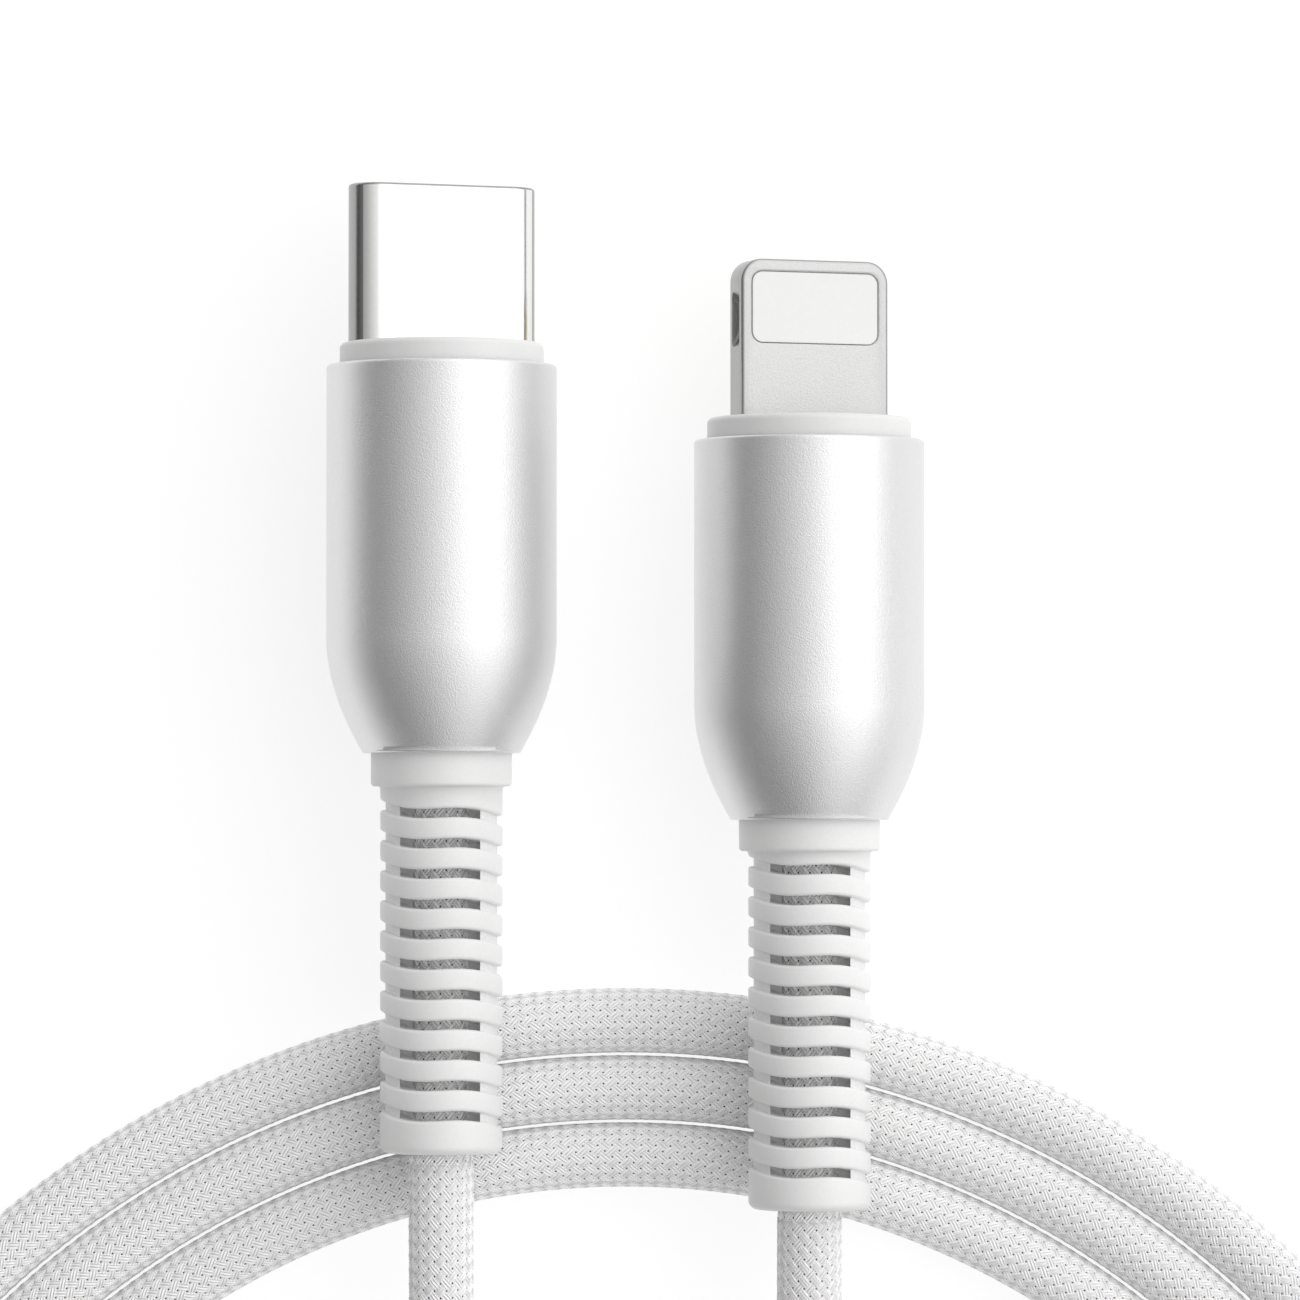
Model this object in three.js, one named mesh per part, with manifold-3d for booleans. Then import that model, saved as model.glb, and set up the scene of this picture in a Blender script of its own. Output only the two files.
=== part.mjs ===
// Charging cable: a USB-C plug and an eight-contact phone plug on the two ends of one braided cord.
// Units are millimetres. +Z is up, the plugs point along +Y, and everything lies on the plane z = 0.
import * as THREE from 'three';
import { mergeVertices } from 'three/addons/utils/BufferGeometryUtils.js';
import Module from 'manifold-3d';

const wasm = await Module();
wasm.setup();

// ---- driving dimensions -------------------------------------------------------------------------

const PLUG_X = 7.85; // each plug's axis, either side of the middle
const NOSE_DOWN = 0.0262; // radians: a boot rests on the cord, the housing's rim on the surface
const ROLL = THREE.MathUtils.degToRad(20); // the flat connectors are turned about the plug's axis

const HOUSING_RADIUS = 4.92;
const HOUSING_LIP_RADIUS = 3.42;
const HOUSING_WALL = 0.45;
const SHOULDER_LENGTH = 4.75; // the part of a housing that curves in to its lip
const SHOULDER_POWER = 1.85;
const COLLAR_RADIUS = 4.36;
const COLLAR_PROUD = 0.94;
const COLLAR_BACK = -2.6;
const CONNECTOR_PROUD = 6.72; // the length of a connector that goes into a socket
const CONNECTOR_TIP = COLLAR_PROUD + CONNECTOR_PROUD;
const CONNECTOR_BACK = -3.0;

const PLUGS = {
  usb_c: { x: -PLUG_X, rim: 14.162, housing: 16.45, neck: 1.54, boot: 15.6 },
  phone: { x: PLUG_X, rim: 10.962, housing: 16.1, neck: 1.45, boot: 15.24 },
};

const NECK_RADIUS = 3.01;
const RIB_RADIUS = 2.61;
const WEB_RADIUS = 2.38;
const BOOT_BORE = 1.73;
const RIB_COUNT = 10;
const RIB_PITCH = 1.282;
const SLOT_HEIGHT = 0.39;
const WINDOW_HALF = 1.7;
const END_CAP = 1.45;
const FLANGE = { radius: 3.5, front: 2.9, back: 1.9 }; // locks the boot inside the housing's shoulder

const SHELL = { width: 8.25, height: 2.4, wall: 0.28 };
const MOUTH = { width: 6.3, height: 1.0, back: 1.2 };
const CONTACT_PITCH = 0.5;
const TAB = { width: 6.7, height: 1.5, corner: 0.95 };
// A round hollow in each side wall, where the socket catches the tab.
const NOTCH = { radius: 1.75, out: 1.3, from_tip: 2.55, height: 0.86 };
const PAD_WINDOW = { width: 5.7, length: 3.0, from_tip: 0.55, corner: 0.45 };

const BOARD = { width: 6.8, thick: 0.8, front: -3.4, back: -10.2 };
const MOULD = { radius: 4.35, front: -3.2, back: -11.2, slot_width: 7.2, slot_height: 3.0 };
const CRIMP = { radius: 2.1, bore: 1.62, front: -11.6, back: -13.2 };
const CORE_FRONT = -11.4;

const CORD_RADIUS = 1.425;
const LANE = 2.9; // from the middle of one turn to the next beside it
const GAP = 0.3;
const OUTER_TURNS = 3;
const INNER_TURNS = 2;
const OVAL = {
  top: -14.0, // the outermost turn's furthest reach towards the plugs
  bottom: -73.3,
  half_width: 34.3,
  top_radius: 41,
  top_angle: THREE.MathUtils.degToRad(43),
  bottom_radius: 60,
  bottom_corner: 23.5,
};
const TIE = { y: -48.2, width: 6, thick: 0.4, inner_left: 20.6, inner_right: 36.2, low: 0.05, high: 3.8 };

// ---- solids -------------------------------------------------------------------------------------

function toSolid(geometry) {
  const bare = geometry.clone();
  bare.deleteAttribute('normal');
  bare.deleteAttribute('uv');
  const merged = mergeVertices(bare, 1e-4);
  return new wasm.Manifold(new wasm.Mesh({
    numProp: 3,
    vertProperties: new Float32Array(merged.attributes.position.array),
    triVerts: new Uint32Array(merged.index.array),
  }));
}

function toGeometry(solid) {
  const mesh = solid.getMesh();
  const geometry = new THREE.BufferGeometry();
  geometry.setAttribute('position', new THREE.BufferAttribute(new Float32Array(mesh.vertProperties), 3));
  geometry.setIndex(new THREE.BufferAttribute(new Uint32Array(mesh.triVerts), 1));
  geometry.computeVertexNormals();
  return geometry;
}

function cut(geometry, ...tools) {
  const rest = tools.reduce((solid, tool) => solid.subtract(toSolid(tool)), toSolid(geometry));
  return toGeometry(rest);
}

// A turned piece: profile points are [radius, place along the axis], from front to back and round.
function turned(profile, segments = 28) {
  return new THREE.LatheGeometry(profile.map(([radius, y]) => new THREE.Vector2(radius, y)), segments);
}

function sleeve(outer, inner, front, back, segments = 24) {
  return turned([[inner, back], [outer, back], [outer, front], [inner, front], [inner, back]], segments);
}

function block(width, length, height, x, front, z) {
  return new THREE.BoxGeometry(width, length, height).translate(x, front - length / 2, z);
}

// An outline across the plug, drawn as x and z, pushed along the plug from back to front.
function pushed(outline, back, front) {
  const geometry = new THREE.ExtrudeGeometry(outline, {
    depth: front - back,
    bevelEnabled: false,
    curveSegments: 8,
  });
  return geometry.rotateX(-Math.PI / 2).translate(0, back, 0);
}

// An outline seen from above, drawn as x and y, raised from one height to another.
function raised(outline, low, high, curveSegments = 8) {
  const geometry = new THREE.ExtrudeGeometry(outline, { depth: high - low, bevelEnabled: false, curveSegments });
  return geometry.translate(0, 0, low);
}

function stadium(Kind, width, height) {
  const r = height / 2;
  const reach = width / 2 - r;
  const outline = new Kind();
  outline.absarc(reach, 0, r, -Math.PI / 2, Math.PI / 2, false);
  outline.absarc(-reach, 0, r, Math.PI / 2, Math.PI * 1.5, false);
  outline.closePath();
  return outline;
}

function roundedBox(Kind, left, right, low, high, r) {
  const outline = new Kind();
  outline.absarc(right - r, low + r, r, -Math.PI / 2, 0, false);
  outline.absarc(right - r, high - r, r, 0, Math.PI / 2, false);
  outline.absarc(left + r, high - r, r, Math.PI / 2, Math.PI, false);
  outline.absarc(left + r, low + r, r, Math.PI, Math.PI * 1.5, false);
  outline.closePath();
  return outline;
}

function tube(radius, points, steps, sides = 8) {
  const section = new THREE.Shape();
  for (let k = 0; k < sides; k += 1) {
    const angle = ((k + 0.5) / sides) * Math.PI * 2;
    const corner = [radius * Math.cos(angle), radius * Math.sin(angle)];
    if (k === 0) section.moveTo(...corner);
    else section.lineTo(...corner);
  }
  section.closePath();
  const path = new THREE.CatmullRomCurve3(points.map((p) => new THREE.Vector3(...p)), false, 'centripetal');
  return new THREE.ExtrudeGeometry(section, { steps, extrudePath: path, bevelEnabled: false });
}

// ---- finishes -----------------------------------------------------------------------------------

const FINISHES = {
  aluminium: { color: 0xc9cacb, roughness: 0.38, metalness: 1 },
  steel: { color: 0xd6d6d4, roughness: 0.18, metalness: 1 },
  tab_steel: { color: 0xcfcfce, roughness: 0.42, metalness: 1 },
  white_plastic: { color: 0xefefef, roughness: 0.45, metalness: 0 },
  boot_rubber: { color: 0xf1f1f1, roughness: 0.5, metalness: 0 },
  braid: { color: 0xe9e9e8, roughness: 0.75, metalness: 0 },
  black_insulator: { color: 0x1c1c1e, roughness: 0.5, metalness: 0 },
  gold: { color: 0xd9b25a, roughness: 0.25, metalness: 1 },
  board: { color: 0x1f5a3a, roughness: 0.5, metalness: 0 },
  chip: { color: 0x18181a, roughness: 0.4, metalness: 0 },
  tie_fabric: { color: 0xe4e4e2, roughness: 0.9, metalness: 0 },
  wire_red: { color: 0xb3261e, roughness: 0.45, metalness: 0 },
  wire_black: { color: 0x202022, roughness: 0.45, metalness: 0 },
  wire_white: { color: 0xe6e6e4, roughness: 0.45, metalness: 0 },
  wire_green: { color: 0x2b7a3f, roughness: 0.45, metalness: 0 },
};

function piece(name, geometry, finish) {
  const mesh = new THREE.Mesh(geometry, new THREE.MeshStandardMaterial(FINISHES[finish]));
  mesh.name = name;
  return mesh;
}

// ---- pieces that both plugs have ----------------------------------------------------------------
// A plug's own frame has its origin in the middle of the housing's rim, with +Y towards the tip.

function shoulderRadius(share) {
  return HOUSING_RADIUS - (HOUSING_RADIUS - HOUSING_LIP_RADIUS) * share ** SHOULDER_POWER;
}

function housing(length) {
  const start = length - SHOULDER_LENGTH;
  const outside = [];
  const inside = [];
  for (let k = 0; k <= 8; k += 1) {
    const share = k / 8;
    const y = -start - SHOULDER_LENGTH * share;
    outside.push([shoulderRadius(share), y]);
    inside.push([shoulderRadius(share) - HOUSING_WALL + 0.06 * share, y]);
  }
  const rim = [
    [HOUSING_RADIUS - HOUSING_WALL, 0],
    [HOUSING_RADIUS - 0.15, 0],
    [HOUSING_RADIUS, -0.15],
  ];
  return turned([...rim, ...outside, ...inside.reverse(), rim[0]].reverse(), 32);
}

function frontCollar(hole) {
  const r = COLLAR_RADIUS;
  const ring = turned([
    [0, COLLAR_BACK],
    [r, COLLAR_BACK],
    [r, COLLAR_PROUD - 0.22],
    [r - 0.07, COLLAR_PROUD - 0.06],
    [r - 0.22, COLLAR_PROUD],
    [0, COLLAR_PROUD],
  ], 32);
  return cut(ring, hole);
}

function innerMould() {
  const barrel = sleeve(MOULD.radius, 1.9, MOULD.front, MOULD.back, 24);
  const length = MOULD.front - MOULD.back + 2;
  return cut(barrel, block(MOULD.slot_width, length, MOULD.slot_height, 0, MOULD.front + 1, 0));
}

function boot({ housing: housingLength, neck, boot: bootLength }) {
  const neckFront = -housingLength + GAP;
  const neckBack = -housingLength - neck;
  const tail = neckBack - bootLength;
  const profile = [
    [BOOT_BORE, -housingLength + FLANGE.front],
    [FLANGE.radius, -housingLength + FLANGE.front],
    [FLANGE.radius, -housingLength + FLANGE.back],
    [NECK_RADIUS - 0.1, -housingLength + FLANGE.back - 0.3],
    [NECK_RADIUS - 0.1, neckFront],
    [NECK_RADIUS - 0.1, -housingLength - 0.05],
    [NECK_RADIUS, -housingLength - 0.05],
    [NECK_RADIUS, neckBack + 0.1],
    [NECK_RADIUS - 0.12, neckBack],
    [RIB_RADIUS, neckBack],
  ];
  const firstSlot = tail + END_CAP + RIB_COUNT * RIB_PITCH; // the foot of the slot nearest the housing
  const windows = [];
  for (let k = 0; k <= RIB_COUNT; k += 1) {
    const foot = firstSlot - k * RIB_PITCH;
    const head = foot + SLOT_HEIGHT;
    profile.push([RIB_RADIUS, head], [WEB_RADIUS, head], [WEB_RADIUS, foot], [RIB_RADIUS, foot]);
    windows.push(block(2 * WINDOW_HALF, SLOT_HEIGHT, 3 * RIB_RADIUS, 0, head, 0));
  }
  profile.push([RIB_RADIUS, tail + 0.35], [RIB_RADIUS - 0.3, tail], [BOOT_BORE, tail], profile[0]);
  return cut(turned(profile.reverse(), 20), ...windows);
}

function cordCore({ housing: housingLength, neck, boot: bootLength }) {
  const tail = -housingLength - neck - bootLength;
  return turned([[0, tail], [CORD_RADIUS, tail], [CORD_RADIUS, CORE_FRONT], [0, CORE_FRONT]], 16);
}

function wire(x, z) {
  const start = [x, BOARD.back + 0.9, z];
  const bend = [x * 0.8, BOARD.back - 0.1, z * 0.9];
  const end = [Math.sign(x) * 0.5, CORE_FRONT + 0.15, Math.sign(z) * 0.5];
  return tube(0.34, [start, bend, end], 4, 6);
}

function commonPieces(name, spec) {
  const chipTop = BOARD.thick / 2 + 0.06;
  const wireHeight = BOARD.thick / 2 + 0.45;
  return {
    fixed: [
      piece(`${name}_housing`, housing(spec.housing), 'aluminium'),
      piece(`${name}_boot`, boot(spec), 'boot_rubber'),
      piece(`${name}_cord_core`, cordCore(spec), 'braid'),
      piece(`${name}_crimp`, sleeve(CRIMP.radius, CRIMP.bore, CRIMP.front, CRIMP.back, 20), 'steel'),
    ],
    rolled: [
      piece(`${name}_inner_mould`, innerMould(), 'white_plastic'),
      piece(
        `${name}_board`,
        block(BOARD.width, BOARD.front - BOARD.back, BOARD.thick, 0, BOARD.front, 0),
        'board',
      ),
      piece(`${name}_chip`, block(2.6, 2.6, 0.7, 0, BOARD.front - 1.4, chipTop + 0.35), 'chip'),
      piece(`${name}_power_wire`, wire(1.0, wireHeight), 'wire_red'),
      piece(`${name}_ground_wire`, wire(-1.0, wireHeight), 'wire_black'),
      piece(`${name}_data_wire_a`, wire(1.0, -wireHeight), 'wire_white'),
      piece(`${name}_data_wire_b`, wire(-1.0, -wireHeight), 'wire_green'),
    ],
  };
}

// ---- the USB-C connector ------------------------------------------------------------------------

function usbShell() {
  const outline = stadium(THREE.Shape, SHELL.width, SHELL.height);
  outline.holes.push(stadium(THREE.Path, SHELL.width - 2 * SHELL.wall, SHELL.height - 2 * SHELL.wall));
  return pushed(outline, CONNECTOR_BACK, CONNECTOR_TIP);
}

function usbInsulator() {
  const width = SHELL.width - 2 * SHELL.wall - 0.12;
  const height = SHELL.height - 2 * SHELL.wall - 0.12;
  const core = pushed(stadium(THREE.Shape, width, height), CONNECTOR_BACK, CONNECTOR_TIP - 0.5);
  return cut(core, block(MOUTH.width, CONNECTOR_TIP - MOUTH.back, MOUTH.height, 0, CONNECTOR_TIP, 0));
}

// Twelve fingers side by side on one rail, lying against the mouth's upper or lower face.
function usbContacts(side) {
  const fingers = 12;
  const finger = 0.26;
  const half = (CONTACT_PITCH * (fingers - 1) + finger) / 2;
  const rail = MOUTH.back + 0.55;
  const tip = CONNECTOR_TIP - 1.3;
  const outline = new THREE.Shape();
  outline.moveTo(-half, MOUTH.back + 0.15);
  outline.lineTo(half, MOUTH.back + 0.15);
  for (let k = fingers - 1; k >= 0; k -= 1) {
    const left = -half + k * CONTACT_PITCH;
    outline.lineTo(left + finger, tip);
    outline.lineTo(left, tip);
    if (k > 0) {
      outline.lineTo(left, rail);
      outline.lineTo(left - CONTACT_PITCH + finger, rail);
    }
  }
  outline.closePath();
  const low = side > 0 ? 0.34 : -0.46;
  return raised(outline, low, low + 0.12);
}

// The latch plate: two side arms with hooks, joined across the back of the mouth.
function usbLatch() {
  const reach = MOUTH.width / 2 - 0.05;
  const back = MOUTH.back + 0.12;
  const tip = CONNECTOR_TIP - 1.6;
  const half = [[0, back], [reach, back], [reach, tip], [reach - 0.42, tip - 0.3], [reach - 0.42, tip - 0.8],
    [reach - 0.2, tip - 1.1], [reach - 0.2, back + 0.25], [0, back + 0.25]];
  const outline = new THREE.Shape();
  half.forEach(([x, y], k) => (k === 0 ? outline.moveTo(x, y) : outline.lineTo(x, y)));
  half.slice(1, -1).reverse().forEach(([x, y]) => outline.lineTo(-x, y));
  outline.closePath();
  return raised(outline, -0.14, 0.14);
}

function usbConnector() {
  const hole = pushed(stadium(THREE.Shape, SHELL.width + 0.1, SHELL.height + 0.1), COLLAR_BACK - 1, COLLAR_PROUD + 1);
  return [
    piece('usb_c_collar', frontCollar(hole), 'white_plastic'),
    piece('usb_c_shell', usbShell(), 'steel'),
    piece('usb_c_insulator', usbInsulator(), 'black_insulator'),
    piece('usb_c_contacts_upper', usbContacts(1), 'gold'),
    piece('usb_c_contacts_lower', usbContacts(-1), 'gold'),
    piece('usb_c_latch', usbLatch(), 'steel'),
  ];
}

// ---- the phone connector ------------------------------------------------------------------------

function tabOutline() {
  const half = TAB.width / 2;
  const outline = new THREE.Shape();
  outline.moveTo(-half, CONNECTOR_BACK);
  outline.lineTo(half, CONNECTOR_BACK);
  outline.absarc(half - TAB.corner, CONNECTOR_TIP - TAB.corner, TAB.corner, 0, Math.PI / 2, false);
  outline.absarc(-half + TAB.corner, CONNECTOR_TIP - TAB.corner, TAB.corner, Math.PI / 2, Math.PI, false);
  outline.closePath();
  return outline;
}

function padOutline(Kind, shrink) {
  const half = PAD_WINDOW.width / 2 - shrink;
  const high = CONNECTOR_TIP - PAD_WINDOW.from_tip - shrink;
  const low = CONNECTOR_TIP - PAD_WINDOW.from_tip - PAD_WINDOW.length + shrink;
  return roundedBox(Kind, -half, half, low, high, PAD_WINDOW.corner - shrink);
}

function phoneTab() {
  const outline = tabOutline();
  outline.holes.push(padOutline(THREE.Path, 0));
  const plate = raised(outline, -TAB.height / 2, TAB.height / 2);
  const notches = [-1, 1].map((side) => new THREE.CylinderGeometry(NOTCH.radius, NOTCH.radius, NOTCH.height, 24)
    .rotateX(Math.PI / 2)
    .translate(side * (TAB.width / 2 + NOTCH.out), CONNECTOR_TIP - NOTCH.from_tip, 0));
  return cut(plate, ...notches);
}

const PAD_BED = { half: 2.62, low: CONNECTOR_TIP - 3.1, high: CONNECTOR_TIP - 1.0, depth: 0.2 };

function phonePadBlock() {
  const plug = raised(padOutline(THREE.Shape, 0.04), -TAB.height / 2 + 0.02, TAB.height / 2 - 0.02);
  const bed = new THREE.BoxGeometry(2 * PAD_BED.half, PAD_BED.high - PAD_BED.low, 2 * PAD_BED.depth)
    .translate(0, (PAD_BED.high + PAD_BED.low) / 2, -TAB.height / 2);
  return cut(plug, bed);
}

// Eight contact strips on one rail, in the bed on the connector's back.
function phoneContacts() {
  const strips = 8;
  const pitch = 0.64;
  const strip = 0.38;
  const half = (pitch * (strips - 1) + strip) / 2;
  const low = PAD_BED.low + 0.05;
  const high = PAD_BED.high - 0.05;
  const outline = new THREE.Shape();
  outline.moveTo(-half, low);
  outline.lineTo(half, low);
  for (let k = strips - 1; k >= 0; k -= 1) {
    const left = -half + k * pitch;
    outline.lineTo(left + strip, high);
    outline.lineTo(left, high);
    if (k > 0) {
      outline.lineTo(left, low + 0.25);
      outline.lineTo(left - pitch + strip, low + 0.25);
    }
  }
  outline.closePath();
  return raised(outline, -TAB.height / 2 + 0.01, -TAB.height / 2 + PAD_BED.depth - 0.05);
}

function phoneConnector() {
  const hole = block(TAB.width + 0.1, 8, TAB.height + 0.1, 0, 4, 0);
  return [
    piece('phone_collar', frontCollar(hole), 'white_plastic'),
    piece('phone_tab', phoneTab(), 'tab_steel'),
    piece('phone_pad_block', phonePadBlock(), 'white_plastic'),
    piece('phone_contacts', phoneContacts(), 'gold'),
  ];
}

function plug(name, connectorPieces) {
  const spec = PLUGS[name];
  const { fixed, rolled } = commonPieces(name, spec);
  const turnedGroup = new THREE.Group();
  turnedGroup.rotation.y = ROLL;
  turnedGroup.add(...rolled, ...connectorPieces);
  const group = new THREE.Group();
  group.position.set(spec.x, spec.rim, HOUSING_RADIUS);
  group.rotation.x = -NOSE_DOWN;
  group.add(...fixed, turnedGroup);
  return group;
}

// ---- the cord -----------------------------------------------------------------------------------

// Half of the oval's corners, from its driving sizes. An inset moves every line inwards.
const topSine = Math.sin(OVAL.top_angle);
const topCorner = (OVAL.half_width - OVAL.top_radius * topSine) / (1 - topSine);
const topCentreY = OVAL.top - OVAL.top_radius;
const topCornerX = (OVAL.top_radius - topCorner) * topSine;
const topCornerY = topCentreY + (OVAL.top_radius - topCorner) * Math.cos(OVAL.top_angle);
const bottomCornerX = OVAL.half_width - OVAL.bottom_corner;
const bottomAngle = Math.asin(bottomCornerX / (OVAL.bottom_radius - OVAL.bottom_corner));
const bottomCentreY = OVAL.bottom + OVAL.bottom_radius;
const bottomCornerY = bottomCentreY - (OVAL.bottom_radius - OVAL.bottom_corner) * Math.cos(bottomAngle);

function ovalOutline(Kind, inset) {
  const up = Math.PI / 2;
  const outline = new Kind();
  outline.absarc(0, topCentreY, OVAL.top_radius - inset, up - OVAL.top_angle, up + OVAL.top_angle, false);
  outline.absarc(-topCornerX, topCornerY, topCorner - inset, up + OVAL.top_angle, Math.PI, false);
  const left = 3 * up - bottomAngle;
  const right = 3 * up + bottomAngle;
  outline.absarc(-bottomCornerX, bottomCornerY, OVAL.bottom_corner - inset, Math.PI, left, false);
  outline.absarc(0, bottomCentreY, OVAL.bottom_radius - inset, left, right, false);
  outline.absarc(bottomCornerX, bottomCornerY, OVAL.bottom_corner - inset, right, 4 * up, false);
  outline.absarc(topCornerX, topCornerY, topCorner - inset, 0, up - OVAL.top_angle, false);
  outline.closePath();
  return outline;
}

// The inner turns are flat loops with round ends, on the same centres as the oval's lower corners.
function loopOutline(Kind, inset) {
  const r = OVAL.bottom_corner - inset;
  const outline = new Kind();
  outline.absarc(bottomCornerX, bottomCornerY, r, -Math.PI / 2, Math.PI / 2, false);
  outline.absarc(-bottomCornerX, bottomCornerY, r, Math.PI / 2, Math.PI * 1.5, false);
  outline.closePath();
  return outline;
}

function turns(outlineOf, firstLane, count) {
  const edge = LANE / 2 - GAP / 2;
  const outline = outlineOf(THREE.Shape, firstLane * LANE - edge);
  outline.holes.push(outlineOf(THREE.Path, (firstLane + count - 1) * LANE + edge));
  const ring = raised(outline, 0, 2 * CORD_RADIUS, 7);
  const underTie = new THREE.BoxGeometry(60, TIE.width + 2 * GAP, 1.5).translate(40, TIE.y, 0);
  return cut(ring, underTie);
}

// From the USB-C boot over the inner turns, down inside them, and round into the innermost one.
const USB_C_END = [
  [-7.85, -19.8, 5.81],
  [-7.85, -23.5, 5.72],
  [-7.85, -28.0, 4.95],
  [-7.85, -32.5, 4.42],
  [-7.85, -37.5, 4.35],
  [-7.85, -42.0, 3.45],
  [-7.85, -46.5, 2.3],
  [-7.68, -51.0, 1.6],
  [-6.3, -54.7, 1.43],
  [-4.63, -56.85, 1.43],
];

// From the phone plug's boot over both sets of turns, and round onto the outermost one.
const PHONE_END = [
  [7.85, -22.2, 5.79],
  [7.85, -26.0, 5.45],
  [7.85, -31.0, 4.55],
  [7.85, -36.5, 4.4],
  [7.85, -42.0, 3.7],
  [7.85, -48.0, 3.3],
  [7.8, -54.0, 3.9],
  [7.3, -59.8, 4.4],
  [5.2, -65.2, 4.42],
  [1.3, -69.4, 4.42],
  [-3.8, -71.8, 4.42],
  [-9.6, -72.3, 4.42],
  [-15.0, -71.0, 4.42],
];

function tieBar(inset, corner, width) {
  const outline = roundedBox(
    THREE.Shape,
    TIE.inner_left - TIE.thick + inset,
    TIE.inner_right + TIE.thick - inset,
    TIE.low + inset,
    TIE.high - inset,
    corner,
  );
  const geometry = new THREE.ExtrudeGeometry(outline, { depth: width, bevelEnabled: false, curveSegments: 3 });
  return geometry.rotateX(Math.PI / 2).translate(0, TIE.y + width / 2, 0);
}

function tie() {
  return cut(tieBar(0, 0.8, TIE.width), tieBar(TIE.thick, 0.4, TIE.width + 2));
}

// ---- the whole cable ----------------------------------------------------------------------------

const cable = new THREE.Group();
cable.add(
  plug('usb_c', usbConnector()),
  plug('phone', phoneConnector()),
  piece('cord_end_usb_c', tube(CORD_RADIUS, USB_C_END, 12), 'braid'),
  piece('cord_end_phone', tube(CORD_RADIUS, PHONE_END, 18), 'braid'),
  piece('cord_outer_turns', turns(ovalOutline, 0, OUTER_TURNS), 'braid'),
  piece('cord_inner_turns', turns(loopOutline, OUTER_TURNS, INNER_TURNS), 'braid'),
  piece('cable_tie', tie(), 'tie_fabric'),
);

export default cable;
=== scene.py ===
"""Looks of the braided charging cable: materials, the fine surfaces, floor, light and camera."""
import math

import bmesh
import bpy
import numpy as np
from mathutils import Matrix, Vector


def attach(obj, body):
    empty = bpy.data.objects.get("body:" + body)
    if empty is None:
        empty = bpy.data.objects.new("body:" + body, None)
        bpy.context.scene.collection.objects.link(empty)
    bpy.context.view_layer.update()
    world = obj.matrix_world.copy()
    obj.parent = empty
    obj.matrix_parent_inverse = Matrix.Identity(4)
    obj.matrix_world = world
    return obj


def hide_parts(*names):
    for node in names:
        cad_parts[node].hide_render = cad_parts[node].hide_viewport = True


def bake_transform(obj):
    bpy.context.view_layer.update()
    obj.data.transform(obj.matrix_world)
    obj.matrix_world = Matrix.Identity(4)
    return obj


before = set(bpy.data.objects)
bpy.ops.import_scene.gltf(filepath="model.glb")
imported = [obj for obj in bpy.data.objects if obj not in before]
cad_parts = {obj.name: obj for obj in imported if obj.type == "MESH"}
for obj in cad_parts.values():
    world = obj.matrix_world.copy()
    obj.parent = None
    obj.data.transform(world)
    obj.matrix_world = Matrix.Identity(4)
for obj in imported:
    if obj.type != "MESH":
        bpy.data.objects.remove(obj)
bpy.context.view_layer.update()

MM = 0.001
TAU = 2 * math.pi

# ---- driving dimensions, in millimetres; those of the CAD part are as it has them ----------------

PLUG_X = 7.85
NOSE_DOWN = 0.0262
ROLL = math.radians(20)

HOUSING_RADIUS = 4.92
HOUSING_LIP_RADIUS = 3.42
HOUSING_WALL = 0.45
SHOULDER_WALL = 0.39
SHOULDER_LENGTH = 4.75
SHOULDER_POWER = 1.85
COLLAR_RADIUS = 4.36
COLLAR_PROUD = 0.94
COLLAR_BACK = -2.6
CONNECTOR_PROUD = 6.72
CONNECTOR_TIP = COLLAR_PROUD + CONNECTOR_PROUD
CONNECTOR_BACK = -3.0

PLUGS = {
    "usb_c": {"x": -PLUG_X, "rim": 14.162, "housing": 16.45, "neck": 1.54, "boot": 15.6},
    "phone": {"x": PLUG_X, "rim": 10.962, "housing": 16.1, "neck": 1.45, "boot": 15.24},
}

NECK_RADIUS = 3.01
RIB_RADIUS = 2.61
WEB_RADIUS = 2.38
BOOT_BORE = 1.73
RIB_COUNT = 10
RIB_PITCH = 1.282
SLOT_HEIGHT = 0.39
WINDOW_HALF = 1.7
LEDGE_HEIGHT = 0.78  # of the web's step that reaches in to the cord
LEDGE_GAP = 0.02  # between that step and the cord's cover
BORE_EASE = 0.03  # that the ribs' bore is wider than the CAD boot's
STUB = 0.62  # of the cord inside the boot, past its tail
END_CAP = 1.45
WEB_FROM, WEB_TO = 0.7, 0.3  # the webs' ends, in from the boot's tail and from its neck
NECK_IN_HOUSING, CORD_IN_HOUSING = 1.2, 2.0

SHELL_WIDTH, SHELL_HEIGHT, SHELL_WALL = 8.25, 2.4, 0.28
TAB_WIDTH, TAB_HEIGHT, TAB_CORNER = 6.7, 1.5, 0.95
PAD_WIDTH, PAD_LENGTH, PAD_FROM_TIP, PAD_CORNER = 5.7, 3.0, 0.55, 0.45
NOTCH_RADIUS, NOTCH_OUT, NOTCH_BACK, NOTCH_HEIGHT = 1.75, 1.3, 2.55, 0.86
TAB_EDGE = 0.12
SEAL_WIDTH, SEAL_SINK = 0.06, 0.025  # the ring round the insert, and its depth below each face
SHELL_END, SHELL_RIM = 0.35, 0.12  # the parts of the USB-C shell painted darker steel, as painted dark reflection
SHELL_PLAY, TAB_PLAY = 0.08, 0.06  # that the collars' holes are larger than the connectors

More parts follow.
